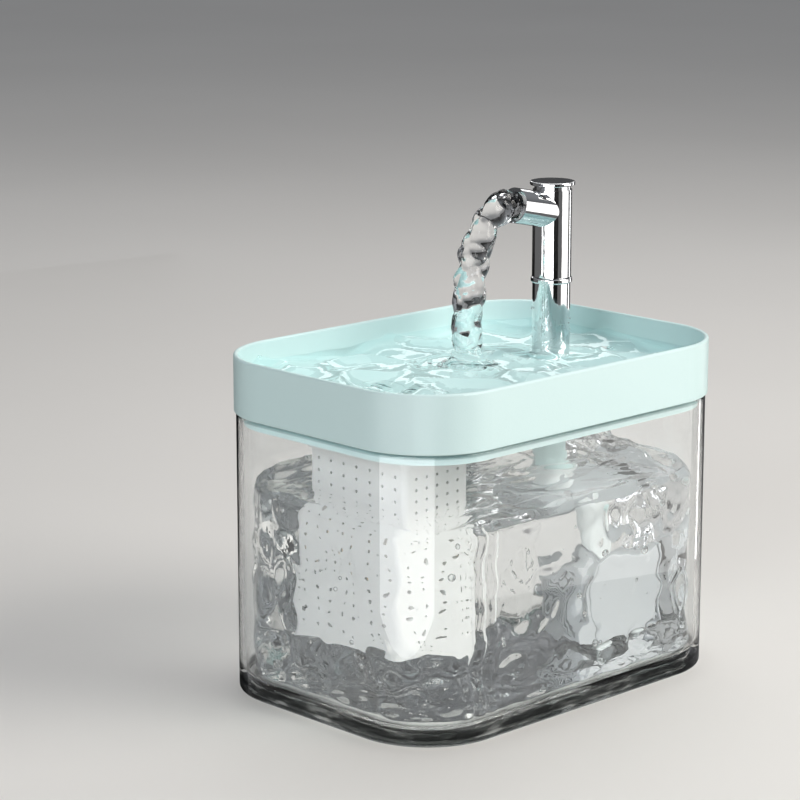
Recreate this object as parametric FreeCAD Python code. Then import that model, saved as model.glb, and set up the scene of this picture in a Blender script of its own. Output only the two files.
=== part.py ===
import FreeCAD, Part

import math
import os

from FreeCAD import Vector

# Water fountain for a pet: a clear tank with a drinking tray on top and a swivel faucet in the tray.
# Millimetres. Z is up, the ground is z = 0, the tank is centred on x = y = 0 and the faucet is
# towards +X. Everything is modelled dry.

# Clear tank
tank_length = 190.0
tank_width = 134.6
tank_height = 120.7
tank_corner = 35.5
tank_wall = 2.5
foot_height = 4.0
foot_width = 6.0
floor_thickness = 3.0
floor_fillet = 5.0
rim_round = 0.8

# Drinking tray, which rests on the tank's rim and is centred by its skirt
tray_overhang = 0.9
tray_height = 24.5
tray_wall = 2.0
tray_floor = 2.5
tray_fillet = 5.0
seat_gap = 0.3
skirt_gap = 0.5
skirt_wall = 1.8
skirt_depth = 4.8

# Gaps between pieces
snug_gap = 0.03
running_gap = 0.08
fit_gap = 0.2
loose_gap = 0.4

# Faucet
faucet_x = 47.5
post_diameter = 16.5
post_length = 42.5
column_diameter = 17.0
column_wall = 2.0
ring_height = 2.7
ring_projection = 0.5
swivel_neck_length = 12.0
swivel_neck_wall = 1.6
seal_groove_depth = 0.8
seal_height = 1.6
spout_diameter = 15.2
spout_wall = 1.3
spout_rise_angle = 12.0
spout_reach = 24.2
spout_root_height = 28.2
column_length = 37.9
cap_diameter = 19.6
cap_thickness = 1.7
cap_neck = 1.8
mouth_ring_width = 1.6
mouth_ring_wall = 0.5

# Socket and feed spout of the tray, under the faucet
socket_wall = 2.2
socket_height = 6.5
gasket_thickness = 1.5
feed_diameter = 14.5
feed_wall = 2.0
feed_bottom = 62.0

# Filter box on rails under the tray
box_length = 37.0
box_width = 57.0
box_centre_x = -50.4
box_bottom = 28.0
box_wall = 1.6
box_corner = 2.5
collar_height = 12.0
collar_projection = 1.8
lip_projection = 2.4
lip_height = 2.0
box_headroom = 2.0
rail_wall = 1.8
rail_ledge = 1.6
hole_diameter = 1.4
broad_columns = 7
broad_pitch = 7.6
broad_row_pitch = 5.2
narrow_columns = 5
narrow_pitch = 6.0
narrow_row_pitch = 4.7
hole_margin = 6.0

# Filter layers in the box, from the bottom
pad_thickness = 8.0
carbon_thickness = 22.0
resin_thickness = 22.0

# Drain strainer, which drops into a recess over the filter box
drain_length = 24.0
drain_width = 40.0
strainer_ledge = 2.0
strainer_thickness = 1.2
strainer_slot_width = 1.8
strainer_slot_pitch = 3.8
strainer_knob_height = 5.0
strainer_knob_diameter = 6.0
overflow_diameter = 5.0
overflow_x = 80.0
overflow_y = -5.0

# Pump, on suction cups under the faucet; its motor shaft runs along X
cup_height = 6.0
cup_diameter = 15.0
cup_stem_diameter = 5.0
cup_stem_depth = 1.6
pump_width = 36.0
pump_height = 34.0
pump_corner = 4.0
chamber_length = 13.0
motor_length = 28.0
chamber_radius = 13.6
chamber_depth = 11.0
pump_wall = 2.0
well_radius = 6.4
well_wall = 1.0
well_depth = 25.0
motor_cover_thickness = 2.0
shaft_diameter = 2.0
bush_diameter = 5.0
rear_bush_diameter = 7.4
bush_end_wall = 0.4
bush_length = 3.0
bush_recess = 1.6
wheel_radius = 11.2
wheel_thickness = 8.0
wheel_disc = 1.6
blade_count = 6
blade_thickness = 1.4
hub_radius = 3.4
magnet_radius = 5.6
magnet_length = 21.0
plate_thickness = 2.4
plate_inset = 2.0
inlet_hole_count = 6
inlet_hole_radius = 1.9
inlet_circle_radius = 6.0
seal_section = 1.2
nozzle_diameter = 12.0
nozzle_wall = 1.8
nozzle_length = 11.0
hose_wall = 2.0
hose_grip = 8.0
cover_length = 11.0
cover_wall = 1.6
cover_slot_width = 1.8
cover_slot_pitch = 4.0
coil_length = 16.0
coil_thickness = 5.0
gland_diameter = 7.0
gland_length = 5.0
gland_bore = 3.6

# Heights and places worked out from the sizes above
floor_top = foot_height + floor_thickness
tray_bottom = tank_height + seat_gap
tray_top = tray_bottom + tray_height
tray_floor_top = tray_bottom + tray_floor
tray_length = tank_length + 2 * tray_overhang
tray_width = tank_width + 2 * tray_overhang
tray_corner = tank_corner + tray_overhang
skirt_inset = tank_wall + skirt_gap
post_radius = post_diameter / 2
socket_floor = tray_bottom + 1.0
post_bottom = socket_floor + gasket_thickness
post_top = post_bottom + post_length
ring_top = post_top + ring_height
column_radius = column_diameter / 2
column_top = ring_top + column_length
feed_radius = feed_diameter / 2
box_top = tray_bottom - box_headroom
box_low_x = box_centre_x - box_length / 2
box_high_x = box_centre_x + box_length / 2
pump_bottom = floor_top + cup_height
pump_axis_z = pump_bottom + pump_height / 2
pump_front = faucet_x - chamber_length / 2
motor_front = pump_front + chamber_length
motor_back = motor_front + motor_length
well_front = pump_front + chamber_depth
nozzle_top = pump_bottom + pump_height + nozzle_length

X_AXIS = Vector(1, 0, 0)
Y_AXIS = Vector(0, 1, 0)
Z_AXIS = Vector(0, 0, 1)


def save(shape, node):
    """Write one node's solids to its own file."""
    if not shape.isValid():
        raise ValueError("the shape of " + node + " is not valid")
    shape.exportStep(os.path.join("parts", node + ".step"))
    print(node, len(shape.Solids), round(shape.Volume, 1))


def rounded_plate(length, width, height, corner, bottom, centre_x=0.0, centre_y=0.0):
    """A flat block with upright rounded corners, standing on the height bottom."""
    half_x = length / 2
    half_y = width / 2
    corners = [(1, 1, 0), (-1, 1, 90), (-1, -1, 180), (1, -1, 270)]
    arcs = []
    for side_x, side_y, start in corners:
        x = centre_x + side_x * (half_x - corner)
        y = centre_y + side_y * (half_y - corner)
        circle = Part.Circle(Vector(x, y, bottom), Z_AXIS, corner)
        arcs.append(Part.Arc(circle, math.radians(start), math.radians(start + 90)).toShape())
    edges = []
    for number, arc in enumerate(arcs):
        following = arcs[(number + 1) % len(arcs)]
        edges.append(arc)
        end = arc.Vertexes[-1].Point
        begin = following.Vertexes[0].Point
        if end.distanceToPoint(begin) > 1e-6:
            edges.append(Part.makeLine(end, begin))
    return Part.Face(Part.Wire(edges)).extrude(Vector(0, 0, height))


def block(low_x, high_x, low_y, high_y, low_z, high_z):
    """A plain box between two corners."""
    return Part.makeBox(high_x - low_x, high_y - low_y, high_z - low_z, Vector(low_x, low_y, low_z))


def post(radius, low_z, high_z, x, y=0.0):
    """An upright round bar."""
    return Part.makeCylinder(radius, high_z - low_z, Vector(x, y, low_z), Z_AXIS)


def shaft_bar(radius, low_x, high_x, y=0.0, z=pump_axis_z):
    """A round bar along X, on the pump's axis unless another is given."""
    return Part.makeCylinder(radius, high_x - low_x, Vector(low_x, y, z), X_AXIS)


def spans(count, pitch):
    """Places of a row of equal steps, centred on zero."""
    return [pitch * (number - (count - 1) / 2) for number in range(count)]


def round_edges(shape, radius, wanted):
    """Round the edges for which wanted says so."""
    edges = [edge for edge in shape.Edges if wanted(edge)]
    return shape.makeFillet(radius, edges)


def edge_at_height(height, least_length=0.0):
    """Pick flat edges that lie wholly at one height."""
    def wanted(edge):
        box = edge.BoundBox
        return abs(box.ZMin - height) < 1e-4 and abs(box.ZMax - height) < 1e-4 and edge.Length > least_length
    return wanted


def inner_prism(inset, bottom, top):
    """The space inside the tank's outline, moved in by an inset."""
    return rounded_plate(tank_length - 2 * inset, tank_width - 2 * inset, top - bottom,
                         tank_corner - inset, bottom)


def make_water_tank():
    outer = rounded_plate(tank_length, tank_width, tank_height, tank_corner, 0.0)
    outer = round_edges(outer, 1.6, edge_at_height(0.0))
    hollow = inner_prism(tank_wall, floor_top, tank_height + 5)
    hollow = round_edges(hollow, floor_fillet, edge_at_height(floor_top))
    recess = inner_prism(foot_width, -1.0, foot_height)
    tank = outer.cut(hollow).cut(recess)
    return round_edges(tank, rim_round, edge_at_height(tank_height))


def tray_shell():
    """The basin with its skirt, before anything is cut in it or stands on it."""
    outer = rounded_plate(tray_length, tray_width, tray_height, tray_corner, tray_bottom)
    outer = round_edges(outer, 0.6, edge_at_height(tray_bottom))
    basin = rounded_plate(tray_length - 2 * tray_wall, tray_width - 2 * tray_wall, tray_height,
                          tray_corner - tray_wall, tray_floor_top)
    basin = round_edges(basin, tray_fillet, edge_at_height(tray_floor_top))
    skirt = inner_prism(skirt_inset, tray_bottom - skirt_depth, tray_floor_top)
    inside = inner_prism(skirt_inset + skirt_wall, tray_bottom - skirt_depth - 1, tray_bottom)
    shell = outer.cut(basin)
    shell = round_edges(shell, tray_wall * 0.45, edge_at_height(tray_top))
    return shell.fuse(skirt.cut(inside)).removeSplitter()


def box_rails():
    """Two hooked rails under the tray, each with an end stop, that carry the filter box."""
    lip_low = box_top - lip_height
    ledge_top = lip_low - fit_gap
    ledge_low = ledge_top - rail_ledge
    lip_edge = box_width / 2 + lip_projection + collar_projection
    inner = lip_edge + loose_gap
    outer = inner + rail_wall
    low_x = box_low_x - collar_projection
    high_x = box_high_x + collar_projection
    stop_x = low_x - loose_gap
    ledge_edge = box_width / 2 + collar_projection + loose_gap
    rails = []
    for side in (-1, 1):
        wall = block(stop_x, high_x, *sorted((side * inner, side * outer)), ledge_low, tray_bottom)
        ledge = block(stop_x, high_x, *sorted((side * ledge_edge, side * outer)), ledge_low, ledge_top)
        stop = block(stop_x - rail_wall, stop_x, *sorted((side * ledge_edge, side * outer)),
                     ledge_low, tray_bottom)
        rails.append(wall.fuse([ledge, stop]))
    return rails


def make_drinking_tray():
    tray = tray_shell()
    socket_radius = post_radius + fit_gap + socket_wall
    socket = post(socket_radius, tray_floor_top - 0.5, tray_floor_top + socket_height, faucet_x)
    feed = post(feed_radius, feed_bottom, socket_floor, faucet_x)
    tray = tray.fuse([socket, feed] + box_rails()).removeSplitter()
    tray = tray.cut(post(post_radius + fit_gap, socket_floor, tray_top, faucet_x))
    tray = tray.cut(post(feed_radius - feed_wall, feed_bottom - 1, tray_top, faucet_x))
    opening = rounded_plate(drain_length, drain_width, 20.0, 4.0, tray_bottom - 10, box_centre_x)
    recess = rounded_plate(drain_length + 2 * strainer_ledge, drain_width + 2 * strainer_ledge, 20.0, 5.0,
                           tray_floor_top - strainer_thickness - fit_gap, box_centre_x)
    overflow = post(overflow_diameter / 2, tray_bottom - 10, tray_top, overflow_x, overflow_y)
    return tray.cut(opening.fuse([recess, overflow]))


def make_strainer():
    """A slotted plate with a finger knob, loose in its recess."""
    bottom = tray_floor_top - strainer_thickness
    flange = rounded_plate(drain_length + 2 * strainer_ledge - 2 * loose_gap,
                           drain_width + 2 * strainer_ledge - 2 * loose_gap,
                           strainer_thickness, 5.0 - loose_gap, bottom, box_centre_x)
    rim = rounded_plate(drain_length - 2 * loose_gap, drain_width - 2 * loose_gap, 1.6,
                        4.0 - loose_gap, bottom - 1.6, box_centre_x)
    rim = rim.cut(rounded_plate(drain_length - 2 * loose_gap - 3.0, drain_width - 2 * loose_gap - 3.0, 1.6,
                                2.5, bottom - 1.6, box_centre_x))
    knob = post(strainer_knob_diameter / 2, bottom, tray_floor_top + strainer_knob_height, box_centre_x)
    knob = round_edges(knob, 1.2, edge_at_height(tray_floor_top + strainer_knob_height))
    slots = []
    for side in (-1, 1):
        for step in spans(5, strainer_slot_pitch):
            centre_y = side * drain_width / 4 - side * 0.6
            slots.append(block(box_centre_x + step - strainer_slot_width / 2,
                               box_centre_x + step + strainer_slot_width / 2,
                               centre_y - 5.6, centre_y + 5.6, bottom - 1, tray_floor_top + 1))
    plate = flange.fuse(rim).cut(Part.makeCompound(slots))
    return plate.fuse(knob).removeSplitter()


def make_faucet_post():
    """The lower tube, plugged into the tray, with the neck that the spout turns on."""
    neck_radius = column_radius - column_wall - running_gap
    body = post(post_radius, post_bottom, post_top, faucet_x)
    neck = post(neck_radius, post_top, post_top + ring_height + swivel_neck_length, faucet_x)
    bore = post(neck_radius - swivel_neck_wall, post_bottom - 1,
                post_top + ring_height + swivel_neck_length + 1, faucet_x)
    groove = post(neck_radius + 1, neck_groove(), neck_groove() + seal_height, faucet_x)
    groove = groove.cut(post(neck_radius - seal_groove_depth, neck_groove() - 1,
                             neck_groove() + seal_height + 1, faucet_x))
    return body.fuse(neck).removeSplitter().cut(bore).cut(groove)


def neck_groove():
    """Where the round seal sits on the swivel neck."""
    return ring_top + swivel_neck_length * 0.55


def make_swivel_ring():
    """The bright ring at the joint, fixed to the lower tube."""
    neck_radius = column_radius - column_wall - running_gap
    ring = post(column_radius + ring_projection, post_top, ring_top - loose_gap, faucet_x)
    ring = round_edges(ring, 0.6, lambda edge: edge.Length > 2 * math.pi * column_radius)
    return ring.cut(post(neck_radius + snug_gap, post_top - 1, ring_top + 1, faucet_x))


def spout_direction():
    angle = math.radians(spout_rise_angle)
    return Vector(-math.cos(angle), 0, math.sin(angle))


def make_spout_column():
    """The upper tube with the spout that rises from it, open from the neck to the mouth."""
    root = Vector(faucet_x, 0, ring_top + spout_root_height)
    direction = spout_direction()
    length = spout_reach / math.cos(math.radians(spout_rise_angle))
    column = post(column_radius, ring_top, column_top, faucet_x)
    arm = Part.makeCylinder(spout_diameter / 2, length, root, direction)
    bore = post(column_radius - column_wall, ring_top - 1, column_top - 2.0, faucet_x)
    arm_bore = Part.makeCylinder(spout_diameter / 2 - spout_wall, length + 2, root, direction)
    return column.fuse(arm).removeSplitter().cut(bore.fuse(arm_bore))


def make_mouth_ring():
    """The rolled lip that lines the spout's mouth."""
    direction = spout_direction()
    length = spout_reach / math.cos(math.radians(spout_rise_angle))
    root = Vector(faucet_x, 0, ring_top + spout_root_height)
    start = root + direction * (length - mouth_ring_width)
    radius = spout_diameter / 2 - spout_wall - snug_gap
    outer = Part.makeCylinder(radius, mouth_ring_width, start, direction)
    inner = Part.makeCylinder(radius - mouth_ring_wall, mouth_ring_width, start, direction)
    return outer.cut(inner)


def make_spout_cap():
    """The flat round cap and the neck that plugs it on the upper tube."""
    disc = post(cap_diameter / 2, column_top + cap_neck, column_top + cap_neck + cap_thickness, faucet_x)
    disc = round_edges(disc, 0.5, lambda edge: edge.Length > math.pi * cap_diameter * 0.9)
    neck = post(column_radius - 0.6, column_top, column_top + cap_neck, faucet_x)
    return disc.fuse(neck).removeSplitter()


def make_swivel_seal():
    """Round seal on the swivel neck, inside the upper tube."""
    neck_radius = column_radius - column_wall - running_gap
    section = 0.5 * running_gap
    outer = post(neck_radius + section, neck_groove(), neck_groove() + seal_height, faucet_x)
    return outer.cut(post(neck_radius - seal_groove_depth, neck_groove(), neck_groove() + seal_height, faucet_x))


def make_post_gasket():
    ring = post(post_radius, socket_floor, post_bottom, faucet_x)
    return ring.cut(post(feed_radius - feed_wall, socket_floor - 1, post_bottom + 1, faucet_x))


def hole_rows(low, high, pitch):
    """Heights of the rows of holes between two limits."""
    count = int((high - low) // pitch) + 1
    start = (low + high - (count - 1) * pitch) / 2
    return [start + pitch * number for number in range(count)]


def make_filter_box():
    """An open box with a collar and side lips; water leaves it through rows of small holes."""
    height = box_top - box_bottom
    collar_bottom = box_top - collar_height
    outer = rounded_plate(box_length, box_width, height, box_corner, box_bottom, box_centre_x)
    collar = rounded_plate(box_length + 2 * collar_projection, box_width + 2 * collar_projection,
                           collar_height, box_corner + collar_projection, collar_bottom, box_centre_x)
    lip = block(box_low_x - collar_projection, box_high_x + collar_projection,
                -box_width / 2 - collar_projection - lip_projection,
                box_width / 2 + collar_projection + lip_projection, box_top - lip_height, box_top)
    inner = rounded_plate(box_length - 2 * box_wall, box_width - 2 * box_wall, height,
                          box_corner - box_wall + 0.3, box_bottom + box_wall, box_centre_x)
    shell = outer.fuse([collar, lip]).removeSplitter().cut(inner)
    low = box_bottom + hole_margin
    high = collar_bottom - hole_margin / 2
    along_x = []
    for y in spans(broad_columns, broad_pitch):
        for z in hole_rows(low, high, broad_row_pitch):
            along_x.append(shaft_bar(hole_diameter / 2, box_low_x - 5, box_high_x + 5, y, z))
    along_y = []
    for x in spans(narrow_columns, narrow_pitch):
        for z in hole_rows(low, high, narrow_row_pitch):
            start = Vector(box_centre_x + x, -box_width / 2 - 5, z)
            along_y.append(Part.makeCylinder(hole_diameter / 2, box_width + 10, start, Y_AXIS))
    return shell.cut(Part.makeCompound(along_x)).cut(Part.makeCompound(along_y))


def filter_layer(bottom, thickness):
    """A block that fills the filter box from wall to wall, with a small gap."""
    inset = box_wall + fit_gap
    return rounded_plate(box_length - 2 * inset, box_width - 2 * inset, thickness, 1.0, bottom, box_centre_x)


def layer_bottoms():
    """Bottom height of the lower pad, the carbon, the resin and the upper pad."""
    bottoms = [box_bottom + box_wall]
    for thickness in (pad_thickness, carbon_thickness, resin_thickness):
        bottoms.append(bottoms[-1] + thickness)
    return bottoms


def make_pump_body():
    """Chamber, rotor well and potting space in one moulding, with the outlet on top."""
    length = chamber_length + motor_length
    centre_x = pump_front + length / 2
    body = rounded_plate(length, pump_width, pump_height, pump_corner, pump_bottom, centre_x)
    body = round_edges(body, 1.5, edge_at_height(pump_bottom + pump_height))
    nozzle_radius = nozzle_diameter / 2
    body = body.fuse(post(nozzle_radius, pump_bottom + pump_height - 2, nozzle_top, faucet_x))
    cavity = block(motor_front + 1.0, motor_back + 1, -pump_width / 2 + pump_wall, pump_width / 2 - pump_wall,
                   pump_bottom + pump_wall, pump_bottom + pump_height - pump_wall)
    well_end = well_front + well_depth + well_wall
    cavity = cavity.cut(shaft_bar(well_radius + well_wall, motor_front - 5, well_end))
    body = body.cut(cavity)
    body = body.cut(shaft_bar(chamber_radius, pump_front - 1, well_front))
    body = body.cut(shaft_bar(well_radius, well_front - 1, well_front + well_depth))
    body = body.cut(post(nozzle_radius - nozzle_wall, pump_axis_z + chamber_radius * 0.7, nozzle_top + 1, faucet_x))
    groove = shaft_bar(chamber_radius + 0.7 + seal_section, pump_front - 1, pump_front + seal_section)
    groove = groove.cut(shaft_bar(chamber_radius + 0.7, pump_front - 2, pump_front + seal_section + 1))
    body = body.cut(groove)
    for x, y in cup_places():
        body = body.cut(post(cup_stem_diameter / 2, pump_bottom - 1, pump_bottom + cup_stem_depth, x, y))
    return body.removeSplitter()


def cup_places():
    """Where the four suction cups hold the pump."""
    places = []
    for x in (pump_front + cup_diameter / 2, motor_back - cup_diameter / 2):
        for y in (-pump_width / 2 + cup_diameter / 2, pump_width / 2 - cup_diameter / 2):
            places.append((x, y))
    return places


def make_suction_cups():
    """Four soft cups, each turned about its own stem."""
    cups = []
    radius = cup_diameter / 2
    stem = cup_stem_diameter / 2 - snug_gap
    for x, y in cup_places():
        points = [(0, 2.2), (radius * 0.55, 1.5), (radius, 0), (radius, 0.7), (radius * 0.6, 2.9),
                  (stem, 3.8), (stem, cup_height + cup_stem_depth - 0.2), (0, cup_height + cup_stem_depth - 0.2)]
        corners = [Vector(x + r, y, floor_top + z) for r, z in points]
        outline = Part.makePolygon(corners + [corners[0]])
        cups.append(Part.Face(outline).revolve(Vector(x, y, 0), Z_AXIS, 360))
    return Part.makeCompound(cups)


def make_motor_cover():
    """Plate that closes the potted motor at the back, with the hole for the lead's gland."""
    plate = rounded_plate(motor_cover_thickness, pump_width, pump_height, motor_cover_thickness * 0.45,
                          pump_bottom, motor_back + motor_cover_thickness / 2)
    return plate.cut(shaft_bar(gland_diameter / 2 - 0.8, motor_back - 1, motor_back + 10, 0.0, gland_z()))


def gland_z():
    """Height of the lead's way out, in the upper part of the motor cover."""
    return pump_axis_z + pump_height / 4


def make_cable_gland():
    """Stepped rubber bush that the lead leaves the motor through."""
    front = motor_back
    back = motor_back + motor_cover_thickness
    stem = shaft_bar(gland_diameter / 2 - 0.8, front, back, 0.0, gland_z())
    head = shaft_bar(gland_diameter / 2, back, back + gland_length, 0.0, gland_z())
    return stem.fuse(head).removeSplitter().cut(shaft_bar(gland_bore / 2, front - 1, back + gland_length + 1, 0.0,
                                                         gland_z()))


def make_motor_coil():
    """Winding around the rotor well, a plain sleeve in the potting."""
    start = motor_front + 4.0
    inner = well_radius + well_wall + fit_gap
    return shaft_bar(inner + coil_thickness, start, start + coil_length).cut(
        shaft_bar(inner, start - 1, start + coil_length + 1))


def make_motor_core():
    """Laminated steel frame around the winding."""
    start = motor_front + 4.0
    half_y = pump_width / 2 - pump_wall - fit_gap
    half_z = pump_height / 2 - pump_wall - fit_gap
    coil_radius = well_radius + well_wall + 2 * fit_gap + coil_thickness
    outer = block(start, start + coil_length, -half_y, half_y, pump_axis_z - half_z, pump_axis_z + half_z)
    return outer.cut(shaft_bar(coil_radius, start - 1, start + coil_length + 1))


def make_pump_shaft():
    return shaft_bar(shaft_diameter / 2, pump_front - bush_recess, well_front + well_depth - bush_end_wall)


def make_rear_bush():
    """Rubber seat of the shaft at the well's end."""
    end = well_front + well_depth
    start = end - bush_length
    return shaft_bar(rear_bush_diameter / 2, start, end).cut(
        shaft_bar(shaft_diameter / 2, start - 1, end - bush_end_wall))


def wheel_start():
    return pump_front + (chamber_depth - wheel_thickness) / 2


def make_impeller_wheel():
    """Disc, hub and straight blades, in one moulding with the magnet's sleeve."""
    start = wheel_start()
    end = start + wheel_thickness
    disc = shaft_bar(wheel_radius, end - wheel_disc, end)
    hub = shaft_bar(hub_radius, start, end + 1.0)
    blades = []
    for number in range(blade_count):
        blade = block(start, end, hub_radius - 0.6, wheel_radius, -blade_thickness / 2, blade_thickness / 2)
        blade.rotate(Vector(0, 0, 0), X_AXIS, 360.0 * number / blade_count)
        blade.translate(Vector(0, 0, pump_axis_z))
        blades.append(blade)
    wheel = disc.fuse([hub] + blades).removeSplitter()
    return wheel.cut(shaft_bar(shaft_diameter / 2 + running_gap, start - 1, end + 2))


def make_rotor_magnet():
    """Ring magnet behind the wheel, in the rotor well."""
    start = wheel_start() + wheel_thickness + 1.0
    magnet = shaft_bar(magnet_radius, start, start + magnet_length)
    return magnet.cut(shaft_bar(shaft_diameter / 2 + running_gap, start - 1, start + magnet_length + 1))


def make_chamber_plate():
    """Front of the pump chamber, with a ring of inlet holes round the shaft's seat."""
    start = pump_front - plate_thickness
    plate = block(start, pump_front, -pump_width / 2 + plate_inset, pump_width / 2 - plate_inset,
                  pump_bottom + plate_inset, pump_bottom + pump_height - plate_inset)
    plate = plate.cut(shaft_bar(bush_diameter / 2, pump_front - bush_recess, pump_front + 1))
    for number in range(inlet_hole_count):
        angle = 2 * math.pi * number / inlet_hole_count
        plate = plate.cut(shaft_bar(inlet_hole_radius, start - 1, pump_front + 1,
                                    inlet_circle_radius * math.cos(angle),
                                    pump_axis_z + inlet_circle_radius * math.sin(angle)))
    return plate


def make_front_bush():
    start = pump_front - bush_recess
    end = wheel_start() - fit_gap
    outer = shaft_bar(bush_diameter / 2, start, end)
    return outer.cut(make_pump_shaft())


def make_chamber_seal():
    """Round seal between the pump body and the chamber plate."""
    radius = chamber_radius + 0.7 + seal_section / 2
    section = seal_section / 2 - 0.02
    return Part.makeTorus(radius, section, Vector(pump_front + seal_section / 2, 0, pump_axis_z), X_AXIS)


def make_outlet_hose():
    """Soft sleeve from the pump's outlet to the tray's feed spout."""
    nozzle_radius = nozzle_diameter / 2
    feed_bore = feed_radius + running_gap
    low = nozzle_top - hose_grip
    step = nozzle_top + 1.0
    high = feed_bottom + hose_grip + 2.0
    sleeve = post(feed_bore + hose_wall, low, high, faucet_x)
    sleeve = round_edges(sleeve, 0.7, lambda edge: edge.Length > 2 * math.pi * feed_radius)
    sleeve = sleeve.cut(post(nozzle_radius + snug_gap, low - 1, step + 1, faucet_x))
    return sleeve.cut(post(feed_bore, step, high + 1, faucet_x))


def cover_limits():
    """The intake cover's front and back."""
    back = pump_front - seat_gap
    return back - cover_length, back


def make_intake_cover():
    """Slotted cup that slides on over the chamber plate and holds the sponge."""
    front, back = cover_limits()
    shell = rounded_plate(back - front, pump_width, pump_height, 1.2, pump_bottom, (front + back) / 2)
    space = block(front + cover_wall, back + 1, -pump_width / 2 + cover_wall, pump_width / 2 - cover_wall,
                  pump_bottom + cover_wall, pump_bottom + pump_height - cover_wall)
    shell = shell.cut(space)
    slots = []
    for y in spans(7, cover_slot_pitch):
        slots.append(block(front - 1, front + cover_wall + 1, y - cover_slot_width / 2, y + cover_slot_width / 2,
                           pump_bottom + 5.0, pump_bottom + pump_height - 5.0))
    return shell.cut(Part.makeCompound(slots))


def make_intake_sponge():
    """Foam block behind the intake slots."""
    front, back = cover_limits()
    inset = cover_wall + fit_gap
    return block(front + cover_wall, pump_front - plate_thickness - seat_gap,
                 -pump_width / 2 + inset, pump_width / 2 - inset,
                 pump_bottom + inset, pump_bottom + pump_height - inset)


os.makedirs("parts", exist_ok=True)

save(make_water_tank(), "water_tank")
save(make_drinking_tray(), "drinking_tray")
save(make_strainer(), "drain_strainer")
save(make_faucet_post(), "faucet_post")
save(make_post_gasket(), "post_gasket")
save(make_swivel_ring(), "swivel_ring")
save(make_swivel_seal(), "swivel_seal")
save(make_spout_column(), "spout_column")
save(make_mouth_ring(), "mouth_ring")
save(make_spout_cap(), "spout_cap")

save(make_filter_box(), "filter_box")
pad_low, carbon_low, resin_low, top_low = layer_bottoms()
save(filter_layer(pad_low, pad_thickness), "lower_filter_pad")
save(filter_layer(carbon_low, carbon_thickness), "carbon_bed")
save(filter_layer(resin_low, resin_thickness), "resin_bed")
save(filter_layer(top_low, pad_thickness), "upper_filter_pad")

save(make_pump_body(), "pump_body")
save(make_suction_cups(), "suction_cups")
save(make_motor_cover(), "motor_cover")
save(make_cable_gland(), "cable_gland")
save(make_motor_coil(), "motor_coil")
save(make_motor_core(), "motor_core")
save(make_pump_shaft(), "pump_shaft")
save(make_rear_bush(), "rear_bush")
save(make_front_bush(), "front_bush")
save(make_impeller_wheel(), "impeller_wheel")
save(make_rotor_magnet(), "rotor_magnet")
save(make_chamber_plate(), "chamber_plate")
save(make_chamber_seal(), "chamber_seal")
save(make_outlet_hose(), "outlet_hose")
save(make_intake_cover(), "intake_cover")
save(make_intake_sponge(), "intake_sponge")
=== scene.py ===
import math

import bmesh
import bpy
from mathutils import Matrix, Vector, noise


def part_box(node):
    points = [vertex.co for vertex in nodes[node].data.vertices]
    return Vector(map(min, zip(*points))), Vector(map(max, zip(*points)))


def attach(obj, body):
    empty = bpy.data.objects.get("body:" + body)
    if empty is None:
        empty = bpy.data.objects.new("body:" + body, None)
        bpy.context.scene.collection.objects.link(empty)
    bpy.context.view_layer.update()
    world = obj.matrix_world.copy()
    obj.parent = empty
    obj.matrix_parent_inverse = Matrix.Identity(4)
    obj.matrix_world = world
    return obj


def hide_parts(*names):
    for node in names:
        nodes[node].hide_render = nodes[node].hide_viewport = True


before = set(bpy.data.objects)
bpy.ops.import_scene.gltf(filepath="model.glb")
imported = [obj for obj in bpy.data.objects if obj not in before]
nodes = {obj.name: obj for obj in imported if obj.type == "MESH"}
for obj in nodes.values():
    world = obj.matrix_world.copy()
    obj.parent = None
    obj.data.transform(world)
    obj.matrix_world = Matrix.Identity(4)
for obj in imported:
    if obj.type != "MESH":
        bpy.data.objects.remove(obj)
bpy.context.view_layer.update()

MM = 0.001


# The view: a long lens a little over a metre from the tank's near corner, looking slightly down.
# Its angles are in degrees and its lens in millimetres.
camera_place = Vector((-829.9, -811.0, 384.9)) * MM
camera_pitch = 12.83
camera_yaw = 44.1
camera_lens = 125.6
camera_sensor = 36.0
camera_nearest = 50 * MM


def show(item):
    """Put a new object into the scene."""
    bpy.context.scene.collection.objects.link(item)


camera_data = bpy.data.cameras.new("camera")
camera_data.lens = camera_lens
camera_data.sensor_width = camera_sensor
camera_data.clip_start = camera_nearest
camera = bpy.data.objects.new("camera", camera_data)
camera.location = camera_place
camera.rotation_euler = (math.radians(90.0 - camera_pitch), 0.0, math.radians(-camera_yaw))
show(camera)
bpy.context.scene.camera = camera


# The floor: one wide, plain, pale sheet that the tank stands on. Mirrors don't show it. They show the
# lamps' bright cards, two dark cards and the grey below the horizon, so that the chrome keeps its
# dark and bright bands.
floor_half = 12.0
floor_top = -0.2 * MM


class Value:
    """A socket of a material. Python's operators on it add the Math nodes of the expression."""

    def __init__(self, recipe, socket):
        self.recipe = recipe
        self.socket = socket

    def maths(self, operation, *terms):
        return self.recipe.node("ShaderNodeMath", {"operation": operation}, terms)

    def __add__(self, other):
        return self.maths("ADD", self, other)

    def __radd__(self, other):
        return self.maths("ADD", other, self)

    def __sub__(self, other):
        return self.maths("SUBTRACT", self, other)

    def __rsub__(self, other):
        return self.maths("SUBTRACT", other, self)

    def __mul__(self, other):
        return self.maths("MULTIPLY", self, other)

    def __rmul__(self, other):
        return self.maths("MULTIPLY", other, self)

    def rise(self, low, high):
        """0 below low, 1 above high, and a smooth step between."""
        settings = {"interpolation_type": "SMOOTHSTEP"}
        return self.recipe.node("ShaderNodeMapRange", settings,
                                {"Value": self, "From Min": low, "From Max": high})


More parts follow.
